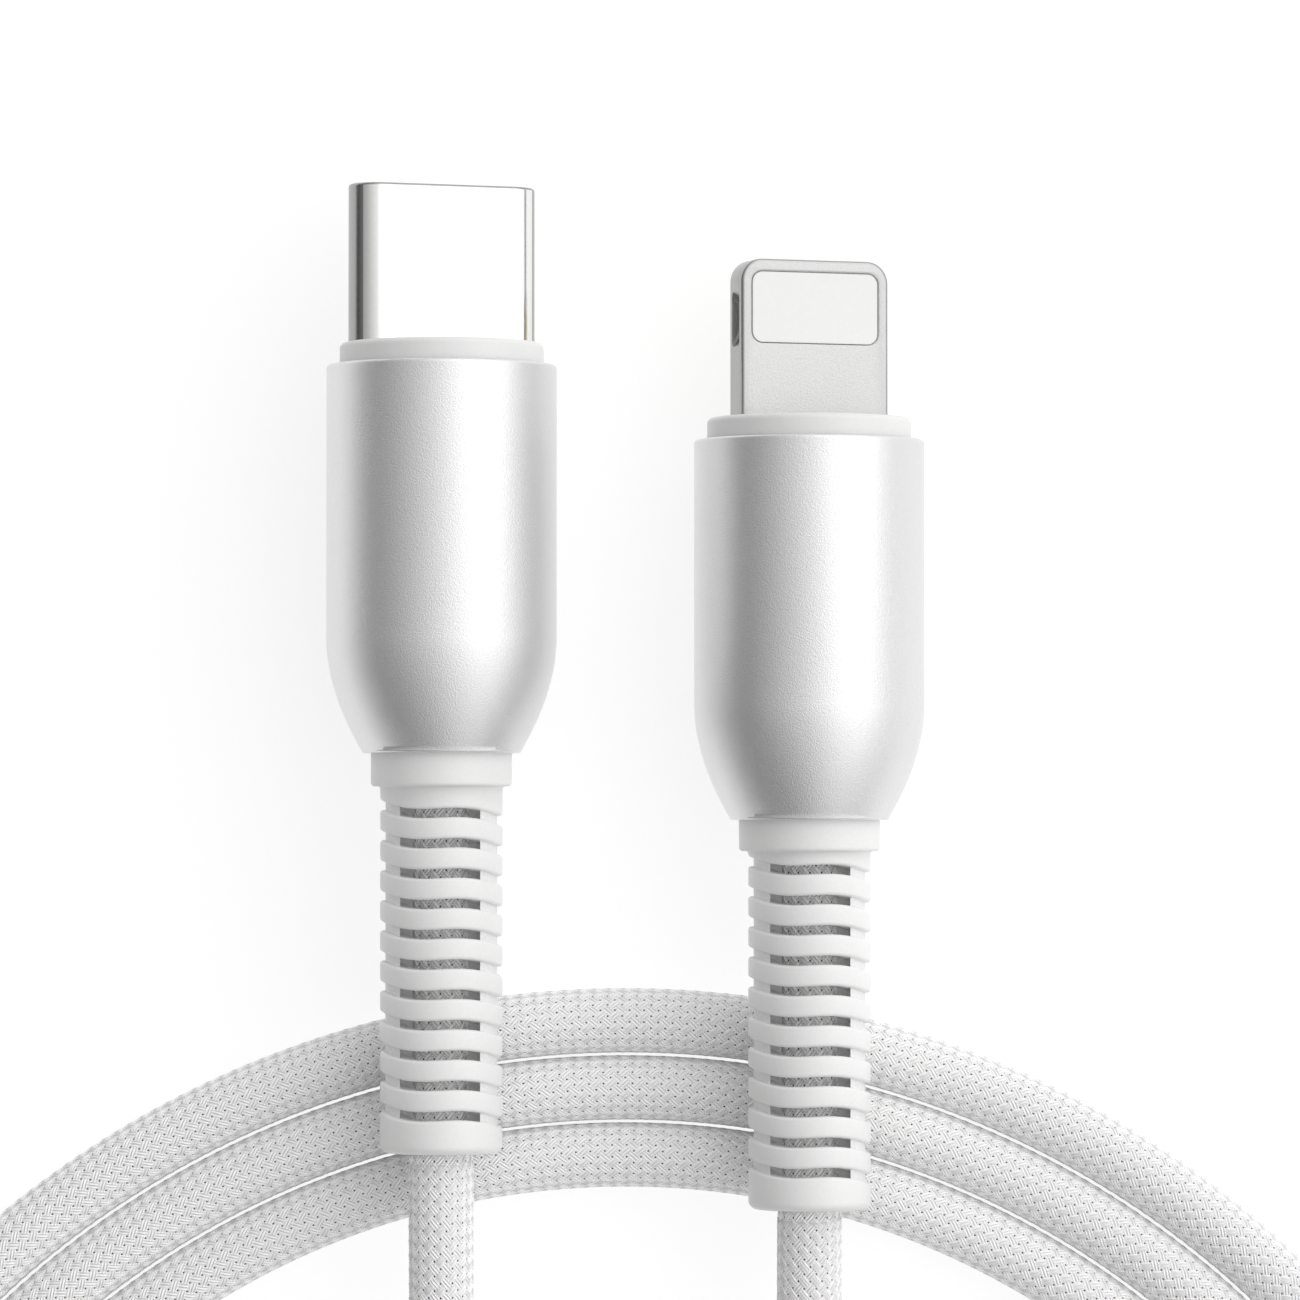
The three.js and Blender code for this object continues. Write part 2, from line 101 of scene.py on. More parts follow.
CORD_RADIUS = 1.425
LANE = 2.9
OUTER_TURNS = 3
INNER_TURNS = 2
OVAL_TOP, OVAL_BOTTOM, OVAL_HALF_WIDTH = -14.0, -73.3, 34.3
TOP_RADIUS, TOP_ANGLE = 41.0, math.radians(43)
BOTTOM_RADIUS, BOTTOM_CORNER = 60.0, 23.5
TIE_Y, TIE_WIDTH = -48.2, 6.0
TIE_LEFT, TIE_RIGHT, TIE_LOW, TIE_HIGH = 20.2, 36.6, 0.05, 3.8

STRANDS = 16  # that run each way round the cord
CROSSING = 0.62  # along the cord, between neighbouring strands that run the same way


# ---- camera ---------------------------------------------------------------------------------------

CAMERA = bpy.data.objects.new("camera", bpy.data.cameras.new("camera"))
CAMERA.location = (1.05 * MM, 2.0 * MM, 288 * MM)
CAMERA.data.sensor_width = 36
CAMERA.data.lens = 183.4
CAMERA.data.clip_start = 0.01
bpy.context.scene.collection.objects.link(CAMERA)
bpy.context.scene.camera = CAMERA


# ---- meshes ---------------------------------------------------------------------------------------

def grid_quads(rows, columns, wrap_rows=False):
    """Quads of a grid of points whose rows close on themselves; its columns may close too."""
    row = np.arange(rows if wrap_rows else rows - 1)
    r, c = np.meshgrid(row, np.arange(columns), indexing="ij")
    below = ((r + 1) % rows) * columns
    right = (c + 1) % columns
    corners = [r * columns + c, r * columns + right, below + right, below + c]
    return np.stack(corners, -1).reshape(-1, 4)


def mesh_piece(name, points, quads, material, caps=(), sharp=32, turn_out=True, smooth=True):
    """A mesh object from points in millimetres, quads, and caps, which are longer polygons."""
    mesh = bpy.data.meshes.new(name)
    points = np.asarray(points, float).reshape(-1, 3)
    corners = np.concatenate([quads.ravel(), *[np.asarray(c) for c in caps]]).astype(np.int32)
    sizes = np.array([4] * len(quads) + [len(c) for c in caps])
    starts = np.concatenate([[0], np.cumsum(sizes)[:-1]]).astype(np.int32)
    mesh.vertices.add(len(points))
    mesh.vertices.foreach_set("co", (points * MM).ravel().astype(np.float32))
    mesh.loops.add(len(corners))
    mesh.loops.foreach_set("vertex_index", corners)
    mesh.polygons.add(len(sizes))
    mesh.polygons.foreach_set("loop_start", starts)
    mesh.update(calc_edges=True)
    if turn_out:
        work = bmesh.new()
        work.from_mesh(mesh)
        bmesh.ops.recalc_face_normals(work, faces=work.faces)
        work.to_mesh(mesh)
        work.free()
    mesh.polygons.foreach_set("use_smooth", np.full(len(mesh.polygons), smooth))
    if sharp:
        mesh.set_sharp_from_angle(angle=math.radians(sharp))
    mesh.materials.append(material)
    obj = bpy.data.objects.new(name, mesh)
    bpy.context.scene.collection.objects.link(obj)
    return obj


def moved(points, matrix):
    points = np.asarray(points, float)
    m = np.array(matrix)
    return points @ m[:3, :3].T + m[:3, 3]


def placing(name, rolled=False):
    """From a plug's own frame, in millimetres, with its origin in the middle of the housing's rim."""
    spec = PLUGS[name]
    place = Matrix.Translation((spec["x"], spec["rim"], HOUSING_RADIUS)) @ Matrix.Rotation(-NOSE_DOWN, 4, "X")
    return place @ Matrix.Rotation(ROLL, 4, "Y") if rolled else place


def turned(name, profile, matrix, material, segments, sharp):
    """A turned piece; its profile is [radius, place along the axis] in order round the section."""
    profile = np.array(profile, float)
    angle = np.linspace(0, TAU, segments, endpoint=False)
    points = np.stack([
        profile[:, :1] * np.cos(angle),
        np.repeat(profile[:, 1:], segments, axis=1),
        profile[:, :1] * np.sin(angle),
    ], -1)
    quads = grid_quads(len(profile), segments, wrap_rows=True)
    return mesh_piece(name, moved(points, matrix), quads, material, sharp=sharp)


def arc(cx, cy, radius, start, end, count):
    angle = np.radians(np.linspace(start, end, count))
    return np.stack([cx + radius * np.cos(angle), cy + radius * np.sin(angle)], -1)


def fillet(corner, radius, start, end, count=5):
    """Points round a section's corner: corner is the rounding's centre."""
    return arc(corner[0], corner[1], radius, start, end, count)


# ---- materials ------------------------------------------------------------------------------------

def finish(name, color, roughness, metallic=0.0, **sockets):
    material = bpy.data.materials.new(name)
    material.use_nodes = True
    shader = material.node_tree.nodes["Principled BSDF"]
    shader.inputs["Base Color"].default_value = (*color, 1)
    shader.inputs["Roughness"].default_value = roughness
    shader.inputs["Metallic"].default_value = metallic
    for socket, value in sockets.items():
        shader.inputs[socket.replace("_", " ")].default_value = value
    return material


def grained(material, grains_per_mm, tint=0.03, rough=0.05, bump=0.004, detail=3.0, stretch=(1, 1, 1)):
    """Adds a fine grain: a slight change of colour and roughness, and a bump so many mm deep."""
    tree = material.node_tree
    shader = tree.nodes["Principled BSDF"]
    place = tree.nodes.new("ShaderNodeTexCoord")
    scale = tree.nodes.new("ShaderNodeMapping")
    scale.inputs["Scale"].default_value = stretch
    noise = tree.nodes.new("ShaderNodeTexNoise")
    noise.inputs["Scale"].default_value = grains_per_mm / MM
    noise.inputs["Detail"].default_value = detail
    tree.links.new(place.outputs["Object"], scale.inputs["Vector"])
    tree.links.new(scale.outputs["Vector"], noise.inputs["Vector"])
    color = shader.inputs["Base Color"].default_value[:3]
    ramp = tree.nodes.new("ShaderNodeValToRGB")
    ramp.color_ramp.elements[0].position = 0.3
    ramp.color_ramp.elements[1].position = 0.7
    ramp.color_ramp.elements[0].color = (*[max(0, c * (1 - tint)) for c in color], 1)
    ramp.color_ramp.elements[1].color = (*[min(1, c * (1 + tint)) for c in color], 1)
    tree.links.new(noise.outputs["Fac"], ramp.inputs["Fac"])
    tree.links.new(ramp.outputs["Color"], shader.inputs["Base Color"])
    spread = tree.nodes.new("ShaderNodeMapRange")
    roughness = shader.inputs["Roughness"].default_value
    spread.inputs["To Min"].default_value = roughness - rough
    spread.inputs["To Max"].default_value = roughness + rough
    tree.links.new(noise.outputs["Fac"], spread.inputs["Value"])
    tree.links.new(spread.outputs["Result"], shader.inputs["Roughness"])
    if bump:
        relief = tree.nodes.new("ShaderNodeBump")
        relief.inputs["Distance"].default_value = bump * MM
        tree.links.new(noise.outputs["Fac"], relief.inputs["Height"])
        tree.links.new(relief.outputs["Normal"], shader.inputs["Normal"])
    return material


ALUMINIUM = grained(finish("blasted_aluminium", (0.8, 0.8, 0.805), 0.4, 1.0), 16, 0.03, 0.05, 0.02)
SHELL_STEEL = grained(finish("polished_steel", (0.86, 0.86, 0.85), 0.14, 1.0), 6, 0.02, 0.04, 0.0006)
TAB_STEEL = grained(finish("satin_steel", (0.53, 0.53, 0.527), 0.4, 1.0), 14, 0.06, 0.06, 0.02)
# Painted reflection: a darker copy of the steel, painted on the connectors' edges as the dark reflection they
# show.
DARK_REFLECTION_STEEL = grained(finish("steel_with_painted_dark_reflection", (0.38, 0.38, 0.377), 0.25, 1.0), 8, 0.03, 0.05, 0.002)
PLAIN_STEEL = grained(finish("plain_steel", (0.6, 0.6, 0.61), 0.3, 1.0), 8, 0.04, 0.06, 0.002)
WHITE_PLASTIC = grained(finish("white_plastic", (0.79, 0.79, 0.785), 0.36), 5, 0.012, 0.05, 0.002)
BOOT_WHITE = grained(finish("boot_elastomer", (0.83, 0.83, 0.825), 0.42), 6, 0.015, 0.06, 0.003)
WEB_WHITE = grained(finish("boot_web", (0.82, 0.82, 0.82), 0.5), 10, 0.06, 0.05, 0.006)
PAD_WHITE = grained(finish("insert_white", (0.84, 0.84, 0.83), 0.35), 5, 0.01, 0.04, 0.001)
BLACK_PLASTIC = grained(finish("black_plastic", (0.02, 0.02, 0.022), 0.45), 8, 0.1, 0.06, 0.002)
GOLD = grained(finish("gold_plate", (0.9, 0.66, 0.28), 0.22, 1.0), 10, 0.03, 0.05, 0.001)
BOARD_GREEN = grained(finish("board_mask", (0.03, 0.16, 0.08), 0.4), 3, 0.15, 0.08, 0.003)
BRAID = finish("nylon_braid", (0.95, 0.95, 0.95), 0.42)
# Painted light: the cord inside the boot glows a little, as if light came through the white rubber, which
# lifts the shade in the boot's windows.
GLOWING_BOOT_BRAID = finish(
    "nylon_braid_in_boot_painted_glow", (0.94, 0.94, 0.94), 0.5, Emission_Color=(1, 1, 1, 1), Emission_Strength=0.1)
# Painted shade: the same nylon as BRAID, painted darker on the coarse cover, which has no filaments, to stand
# in for their shade.
FAR_BRAID_SHADED = finish("nylon_braid_far_painted_shade", (0.87, 0.87, 0.87), 0.5)
# Painted shade: a grey outline along each strand's edge, where it dives under the other family.
BRAID_EDGE_SHADE = finish("painted_shade_at_strand_edges", (0.84, 0.84, 0.84), 0.6)
# Painted shade: the falling side of each filament on the fine cover, darker as if turned from the light.
BRAID_FILAMENT_SHADE = finish("painted_shade_on_filament_sides", (0.7, 0.7, 0.7), 0.6)
# Painted shade: near-black, on the faces of the pits where four strands meet.
BRAID_GAP_SHADE = finish("painted_shade_in_braid_gaps", (0.03, 0.03, 0.03), 0.9)
CORE = finish("cord_core", (0.7, 0.7, 0.7), 0.7)
STRAP = grained(finish("strap_fabric", (0.8, 0.8, 0.79), 0.85), 5, 0.08, 0.05, 0.05, stretch=(1, 3, 1))
WIRES = {
    "power_wire": grained(finish("wire_red", (0.5, 0.02, 0.015), 0.4), 4, 0.05),
    "ground_wire": grained(finish("wire_black", (0.015, 0.015, 0.016), 0.4), 4, 0.05),
    "data_wire_a": grained(finish("wire_white", (0.78, 0.78, 0.76), 0.4), 4, 0.02),
    "data_wire_b": grained(finish("wire_green", (0.02, 0.25, 0.06), 0.4), 4, 0.05),
}


# ---- the cord's route -----------------------------------------------------------------------------

USB_C_END = [
    [-7.85, -19.8, 5.81], [-7.85, -23.5, 5.72], [-7.85, -28.0, 4.95], [-7.85, -32.5, 4.42],
    [-7.85, -37.5, 4.35], [-7.85, -42.0, 3.45], [-7.85, -46.5, 2.3], [-7.68, -51.0, 1.6],
    [-6.3, -54.7, 1.43], [-4.63, -56.85, 1.43],
]
USB_C_JOIN = [[-2.35, -58.6, 1.43], [0.3, -59.7, 1.43], [3.15, -60.07, 1.43], [6.0, -60.07, 1.43]]
PHONE_END = [
    [7.85, -22.2, 5.79], [7.85, -26.0, 5.45], [7.85, -31.0, 4.55], [7.85, -36.5, 4.4],
    [7.85, -42.0, 3.7], [7.85, -48.0, 3.3], [7.8, -54.0, 3.9], [7.3, -59.8, 4.4],
    [5.2, -65.2, 4.42], [1.3, -69.4, 4.42], [-3.8, -71.8, 4.42], [-9.6, -72.3, 4.42],
    [-15.0, -71.0, 4.42],
]

top_sine = math.sin(TOP_ANGLE)
TOP_CORNER = (OVAL_HALF_WIDTH - TOP_RADIUS * top_sine) / (1 - top_sine)
TOP_CENTRE = (0.0, OVAL_TOP - TOP_RADIUS)
TOP_CORNER_X = (TOP_RADIUS - TOP_CORNER) * top_sine
TOP_CORNER_Y = TOP_CENTRE[1] + (TOP_RADIUS - TOP_CORNER) * math.cos(TOP_ANGLE)
CORNER_X = OVAL_HALF_WIDTH - BOTTOM_CORNER
BOTTOM_HALF = math.degrees(math.asin(CORNER_X / (BOTTOM_RADIUS - BOTTOM_CORNER)))
BOTTOM_CENTRE = (0.0, OVAL_BOTTOM + BOTTOM_RADIUS)
CORNER_Y = BOTTOM_CENTRE[1] - (BOTTOM_RADIUS - BOTTOM_CORNER) * math.cos(math.radians(BOTTOM_HALF))
TOP_HALF = math.degrees(TOP_ANGLE)


def eased(x):
    x = np.clip(x, 0, 1)
    return x * x * (3 - 2 * x)


def lane_arc(centre, radius, start, end, inset, step=2.4):
    """Points of one lane round an arc; inset is a distance, or what gives one from the angle."""
    at = inset if callable(inset) else (lambda angle: np.full(len(angle), inset))
    span = math.radians(end - start) * (radius - at(np.array([start]))[0])
    angle = np.linspace(start, end, max(3, round(span / step)) + 1)[:-1]
    r = radius - at(angle)
    turn = np.radians(angle)
    flat = np.stack([centre[0] + r * np.cos(turn), centre[1] + r * np.sin(turn)], -1)
    return np.column_stack([flat, np.full(len(flat), CORD_RADIUS)])


def lane_line(start, end, step=2.4):
    count = max(2, round(math.dist(start, end) / step))
    flat = np.linspace(start, end, count + 1)[:-1]
    return np.column_stack([flat, np.full(len(flat), CORD_RADIUS)])


MOVE_AHEAD = 6.7  # how far before the left end's middle the lanes start to move over
MOVE_RADIUS = 20.0  # turns the left end's angle into a length
MOVE_LENGTH = MOVE_AHEAD + MOVE_RADIUS * math.radians(90 - BOTTOM_HALF)
CLIMB_LENGTH = 28.0
LATE_FROM, LATE_SPAN = 168, 106  # degrees round the left end where the innermost lane moves over


def moving_out(inset):
    """The inset of a cord that moves one lane outwards on the left end, from the normal's angle."""
    return lambda angle: inset - LANE * eased(
        (MOVE_AHEAD + MOVE_RADIUS * np.radians(angle - 180)) / MOVE_LENGTH)


def inner_turn(inset):
    """A loop from its right end's foot over the top to the left end's middle."""
    top = CORNER_Y + BOTTOM_CORNER - inset
    return [
        lane_arc((CORNER_X, CORNER_Y), BOTTOM_CORNER, -90, 90, inset),
        lane_line((CORNER_X, top), (-CORNER_X, top)),
    ]


def outer_turn(inset):
    """One lane of the oval, from the middle of its lower edge to the left end."""
    side = OVAL_HALF_WIDTH - inset
    move = inset if inset == 0 else moving_out(inset)
    turn = [
        lane_arc(BOTTOM_CENTRE, BOTTOM_RADIUS, 270 - BOTTOM_HALF, 270 + BOTTOM_HALF, inset),
        lane_arc((CORNER_X, CORNER_Y), BOTTOM_CORNER, 270 + BOTTOM_HALF, 360, inset),
        lane_line((side, CORNER_Y), (side, TOP_CORNER_Y)),
        lane_arc((TOP_CORNER_X, TOP_CORNER_Y), TOP_CORNER, 0, 90 - TOP_HALF, inset),
        lane_arc(TOP_CENTRE, TOP_RADIUS, 90 - TOP_HALF, 90 + TOP_HALF, inset),
        lane_arc((-TOP_CORNER_X, TOP_CORNER_Y), TOP_CORNER, 90 + TOP_HALF, 180, inset),
        lane_line((-side, TOP_CORNER_Y), (-side, CORNER_Y)),
        lane_arc((-CORNER_X, CORNER_Y), BOTTOM_CORNER, 180, 270 - BOTTOM_HALF, move),
    ]
    if inset > 0:
        straight = turn[6]
        straight[:, 0] -= LANE * eased((CORNER_Y + MOVE_AHEAD - straight[:, 1]) / MOVE_LENGTH)
    return turn


def climbing(turn):
    """Lifts the outermost lane on the left, so that it lies on the turn that takes its place."""
    level, left_side = turn[:5], np.concatenate(turn[5:])
    below = CORNER_Y - left_side[:, 1]
    angle = np.arctan2(below, -CORNER_X - left_side[:, 0])
    ahead = np.where(below < 0, below, MOVE_RADIUS * angle)
    share = (ahead + CLIMB_LENGTH / 2) / CLIMB_LENGTH
    left_side[:, 2] += (PHONE_END[-1][2] - CORD_RADIUS) * eased(share)
    return [*level, left_side]


def route():
    """The middle of the free cord, from the USB-C boot's tail to the phone plug's."""
    left = (-CORNER_X, CORNER_Y)
    innermost = LANE * (OUTER_TURNS + INNER_TURNS - 1)
    second = innermost - LANE
    foot = CORNER_Y - BOTTOM_CORNER + second

    def late(angle):
        return innermost - LANE * eased((angle - LATE_FROM) / LATE_SPAN)

    parts = [USB_C_END, USB_C_JOIN]
    parts += inner_turn(innermost)
    parts += [
        lane_arc(left, BOTTOM_CORNER, 90, LATE_FROM + LATE_SPAN, late),
        lane_line((-CORNER_X + 2, foot), (CORNER_X, foot)),
    ]
    parts += inner_turn(second)
    parts += [lane_arc(left, BOTTOM_CORNER, 90, 270 - BOTTOM_HALF, moving_out(second))]
    for lane in reversed(range(1, OUTER_TURNS)):
        parts += outer_turn(LANE * lane)
    parts += climbing(outer_turn(0))
    parts += [PHONE_END[::-1]]
    return np.concatenate([np.array(p, float) for p in parts])


def rounded_off(points, per_mm=8):
    """A smooth curve along the points: a cubic B-spline that starts and ends on the first and last."""
    p = np.vstack([2 * points[0] - points[1], points, 2 * points[-1] - points[-2]])
    t = np.linspace(0, 1, 12, endpoint=False)[:, None]
    basis = [(1 - t) ** 3, 3 * t ** 3 - 6 * t ** 2 + 4, -3 * t ** 3 + 3 * t ** 2 + 3 * t + 1, t ** 3]
    spans = [sum(b * p[k + i] for i, b in enumerate(basis)) / 6 for k in range(len(p) - 3)]
    curve = np.vstack([*spans, points[-1:]])
    reach = np.concatenate([[0], np.cumsum(np.linalg.norm(np.diff(curve, axis=0), axis=1))])
    count = round(reach[-1] * per_mm)
    even = np.linspace(0, reach[-1], count + 1)
    return np.stack([np.interp(even, reach, curve[:, k]) for k in range(3)], -1), reach[-1]


STRAP_FROM_X, LOWER_LAYER = 14, 2.2  # the cord that lies on the strap is right of and below these
STRAP_LIFT, LIFT_LENGTH = 0.48, 6


def over_the_strap(curve):
    """The turns lie on the strap's lower side where it passes under them."""
    under = (curve[:, 0] > STRAP_FROM_X) & (curve[:, 2] < LOWER_LAYER)
    lift = STRAP_LIFT * np.exp(-((curve[:, 1] - TIE_Y) / LIFT_LENGTH) ** 4)
    curve[:, 2] += np.where(under, lift, 0)
    return curve


CENTRELINE, CORD_LENGTH = rounded_off(route())
CENTRELINE = over_the_strap(CENTRELINE)
REACH = np.linspace(0, CORD_LENGTH, len(CENTRELINE))


# ---- the braided cover ----------------------------------------------------------------------------

COVER_RADIUS = 1.4  # over the strands' crowns, so that neighbouring turns show a thin gap
FAR_RADIUS = COVER_RADIUS - 0.01  # of the coarse cover, whose ends lie in under the fine one's
BOOT_CORD_RADIUS = COVER_RADIUS - 0.03
CORE_SHARE = 0.74  # of the cord's radius
WEAVE_DEPTH = 0.03
# Places across one strand, as shares of its lane, and the strand's height there.
FINE = ((0.08, 0.0), (0.2, 0.05), (0.34, 0.02), (0.5, 0.06), (0.66, 0.02), (0.8, 0.05), (0.92, 0.0))
COARSE = ((0.08, 0.0), (0.5, 0.06), (0.92, 0.0))
STRAND_CROWN = 0.06
MOST_QUADS = 95000  # in one piece of the cover
VIEW_LOW, VIEW_MIDDLE, VIEW_HALF = -27.5, 1.0, 30.0  # what the camera sees, and a little more


def along_line(line, reach, at):
    """Points of a line at given lengths, with the directions to its side and upwards there."""
    centre = np.stack([np.interp(at, reach, line[:, k]) for k in range(3)], -1)
    slope = np.gradient(line, reach, axis=0)
    ahead = np.stack([np.interp(at, reach, slope[:, k]) for k in range(3)], -1)
    ahead /= np.linalg.norm(ahead, axis=-1, keepdims=True)
    side = np.cross(ahead, [0, 0, 1.0])
    side /= np.linalg.norm(side, axis=-1, keepdims=True)
    return centre, side, np.cross(side, ahead)


def tube_points(line, reach, at, angle, radius):
    """Points round a line; at, angle and radius are arrays of one shape."""
    centre, side, up = along_line(line, reach, at)
    return centre + (side * np.cos(angle)[..., None] + up * np.sin(angle)[..., None]) * radius[..., None]


def crossings_in(length):
    return round(length / CROSSING)


def braid_piece(name, line, reach, first, last, strand, material, outer):
    """The cover between two crossings, as a mesh whose edges run along the strands both ways round.

    Strands of each family go in turn over and under the other family's, and a pit is left
    wherever four of them meet. Painted shade: the pits are painted near-black, and the
    strands' edges and the falling side of each filament are painted grey.
    """
    steps = len(strand)
    first, last = first * 2 * steps, last * 2 * steps
    pitch = reach[-1] / crossings_in(reach[-1])
    place, height = np.array(strand).T
    row = np.arange(first, last + 2)[:, None]
    turn = 2 * np.arange(STRANDS * steps)[None] + row % 2
    one, other = (row + turn) // 2, (row - turn) // 2
    a, b = one // steps + place[one % steps], other // steps + place[other % steps]
    over_a = height[one % steps] + WEAVE_DEPTH * np.cos((one // steps + b - 0.5) * math.pi)
    over_b = height[other % steps] - WEAVE_DEPTH * np.cos((other // steps + a - 0.5) * math.pi)
    radius = outer - STRAND_CROWN - WEAVE_DEPTH + np.maximum(over_a, over_b)
    points = tube_points(line, reach, (a + b) * pitch / 2, (a - b) * TAU / (2 * STRANDS), radius)
    around = STRANDS * steps
    column = np.arange(around)[None]
    start = np.arange(len(row) - 2)[:, None] * around
    odd = row[:-2] % 2
    quads = np.stack([
        start + column,
        start + around + (column + odd - 1) % around,
        start + 2 * around + column,
        start + around + (column + odd) % around,
    ], -1).reshape(-1, 4)
    made = mesh_piece(name, points, quads, material, sharp=0, turn_out=False, smooth=False)
    # Each face takes its painted shade from the point it starts at: near-black in the pits, grey along the
    # strands' edges and on the falling side of each filament, none elsewhere.
    shaded_gaps = (one % steps == steps - 1) & (other % steps == steps - 1)
    edges = (one % steps == steps - 1) | (other % steps == steps - 1)
    across = np.where(over_a > over_b, one % steps, other % steps)
    shaded_sides = np.isin(across, (1, 3)) & (steps == len(FINE))
    shade_marks = np.select([shaded_gaps, edges, shaded_sides], [1, 2, 3], 0)
    for extra in (BRAID_GAP_SHADE, BRAID_EDGE_SHADE, BRAID_FILAMENT_SHADE):
        made.data.materials.append(extra)
    made.data.polygons.foreach_set("material_index", shade_marks[:-2].ravel().astype(np.int32))
    return made


def in_view(points):
    return (points[:, 1] > VIEW_LOW) & (np.abs(points[:, 0] - VIEW_MIDDLE) < VIEW_HALF)


def cover_pieces():
    """The whole free cord's cover, finer where the camera sees it."""
    crossings = crossings_in(CORD_LENGTH)
    shown = in_view(along_line(CENTRELINE, REACH, (np.arange(crossings) + 0.5) * CROSSING)[0])
    marks = [0, *(np.flatnonzero(np.diff(shown.astype(int))) + 1), crossings]
    pieces = []
    for first, last in zip(marks[:-1], marks[1:]):
        strand = FINE if shown[first] else COARSE
        quads = 2 * STRANDS * len(strand) ** 2 * (last - first)
        cuts = np.linspace(first, last, math.ceil(quads / MOST_QUADS) + 1).astype(int)
        if strand is COARSE:  # its larger teeth reach in under the fine mesh next to it
            cuts[0], cuts[-1] = max(first - 1, 0), min(last + 1, crossings)
        for low, high in zip(cuts[:-1], cuts[1:]):
            name = f"cord_cover_{len(pieces) + 1:02d}"
            material, outer = (BRAID, COVER_RADIUS) if strand is FINE else (FAR_BRAID_SHADED, FAR_RADIUS)
            pieces.append(braid_piece(name, CENTRELINE, REACH, low, high, strand, material, outer))
    return pieces


def cord_core():
    at = np.linspace(0, CORD_LENGTH, round(CORD_LENGTH))
    sides = 12
    at_all, angle = np.meshgrid(at, np.linspace(0, TAU, sides, endpoint=False), indexing="ij")
    points = tube_points(CENTRELINE, REACH, at_all, angle, np.full(at_all.shape, CORE_SHARE * CORD_RADIUS))
    ends = [np.arange(sides)[::-1], np.arange(sides) + sides * (len(at) - 1)]
    core = mesh_piece("cord_core", points, grid_quads(len(at), sides), CORE, caps=ends)
    return core, along_line(CENTRELINE, REACH, at)[0]


COVER = cover_pieces()
CORD, CORD_PATH = cord_core()
for piece in [CORD, *COVER]:
    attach(piece, "cord")
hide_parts("cord_end_usb_c", "cord_end_phone", "cord_outer_turns", "cord_inner_turns")


# ---- the strap round the coil ---------------------------------------------------------------------

def rounded_loop(left, right, low, high, radius, count=9):
    corners = [
        arc(right - radius, low + radius, radius, -90, 0, count),
        arc(right - radius, high - radius, radius, 0, 90, count),
        arc(left + radius, high - radius, radius, 90, 180, count),
        arc(left + radius, low + radius, radius, 180, 270, count),
    ]
    return np.concatenate(corners)


def band(name, path, closed, width, thick, material):
    """A woven band along a path of [x, z] points, its outer face on the path."""
    ahead = np.roll(path, -1, axis=0) - np.roll(path, 1, axis=0)
    if not closed:
        ahead[0], ahead[-1] = path[1] - path[0], path[-1] - path[-2]
    ahead /= np.linalg.norm(ahead, axis=1, keepdims=True)
    inward = np.stack([-ahead[:, 1], ahead[:, 0]], -1)
    half, edge = width / 2, 0.12
    section = np.array([
        [-half, edge], [-half + edge, 0], [half - edge, 0], [half, edge],
        [half, thick - edge], [half - edge, thick], [-half + edge, thick], [-half, thick - edge],
    ])
    across = np.repeat(section[None, :, 0], len(path), 0)
    flat = path[:, None] + inward[:, None] * section[None, :, 1:]
    points = np.stack([flat[..., 0], TIE_Y + across, flat[..., 1]], -1)
    ends = () if closed else [np.arange(8)[::-1], np.arange(8) + 8 * (len(path) - 1)]
    quads = grid_quads(len(path), 8, wrap_rows=closed)
    return mesh_piece(name, points, quads, material, caps=ends, sharp=60)


def spread(path, step, closed):
    """The same path with a point at least every step."""
    ring = np.vstack([path, path[:1]]) if closed else path
    reach = np.concatenate([[0], np.cumsum(np.linalg.norm(np.diff(ring, axis=0), axis=1))])
    even = np.linspace(0, reach[-1], round(reach[-1] / step) + 1)
    even = even[:-1] if closed else even
    return np.stack([np.interp(even, reach, ring[:, k]) for k in range(2)], -1)


STRAP_CORNER, STRAP_STEP = 1.1, 0.25
LOOP_THICK, FLAP_THICK = 0.4, 0.34
FLAP_UP = 0.36  # of the flap's outer face over the loop's
FLAP_FROM, FLAP_TO = 3.4, 1.4  # its ends, from the loop's left side and from its lower side
LOOP = spread(rounded_loop(TIE_LEFT, TIE_RIGHT, TIE_LOW, TIE_HIGH, STRAP_CORNER), STRAP_STEP, True)
STRAP_LOOP = band("strap_loop", LOOP, True, TIE_WIDTH, LOOP_THICK, STRAP)
FLAP_LINE = np.vstack([
    [TIE_LEFT + FLAP_FROM, TIE_HIGH + FLAP_UP],
    arc(TIE_RIGHT - STRAP_CORNER, TIE_HIGH + FLAP_UP - STRAP_CORNER, STRAP_CORNER, 90, 8, 8),
    [TIE_RIGHT, TIE_LOW + FLAP_TO],
])
FLAP_PATH = spread(FLAP_LINE, STRAP_STEP, False)[::-1]
FLAP = band("strap_flap", FLAP_PATH, False, TIE_WIDTH - 0.2, FLAP_THICK, STRAP)
for piece in (STRAP_LOOP, FLAP):
    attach(piece, "cord")
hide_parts("cable_tie")


# ---- pieces that both plugs have ------------------------------------------------------------------

def housing(name):
    spec = PLUGS[name]
    share = np.linspace(0, 1, 28)
    y = SHOULDER_LENGTH - spec["housing"] - SHOULDER_LENGTH * share
    outer = HOUSING_RADIUS - (HOUSING_RADIUS - HOUSING_LIP_RADIUS) * share ** SHOULDER_POWER
    edge, lip = 0.16, 0.12
    profile = np.vstack([
        [HOUSING_RADIUS - HOUSING_WALL, 0.0],
        fillet((HOUSING_RADIUS - edge, -edge), edge, 90, 0, 6),
        np.column_stack([outer, y]),
        fillet((outer[-1] - lip, y[-1]), lip, 0, -90, 4),
        np.column_stack([outer - SHOULDER_WALL, y])[::-1],
    ])
    made = turned(f"{name}_housing_shell", profile, placing(name), ALUMINIUM, segments=160, sharp=50)
    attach(made, f"{name}_plug")
    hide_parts(f"{name}_housing")


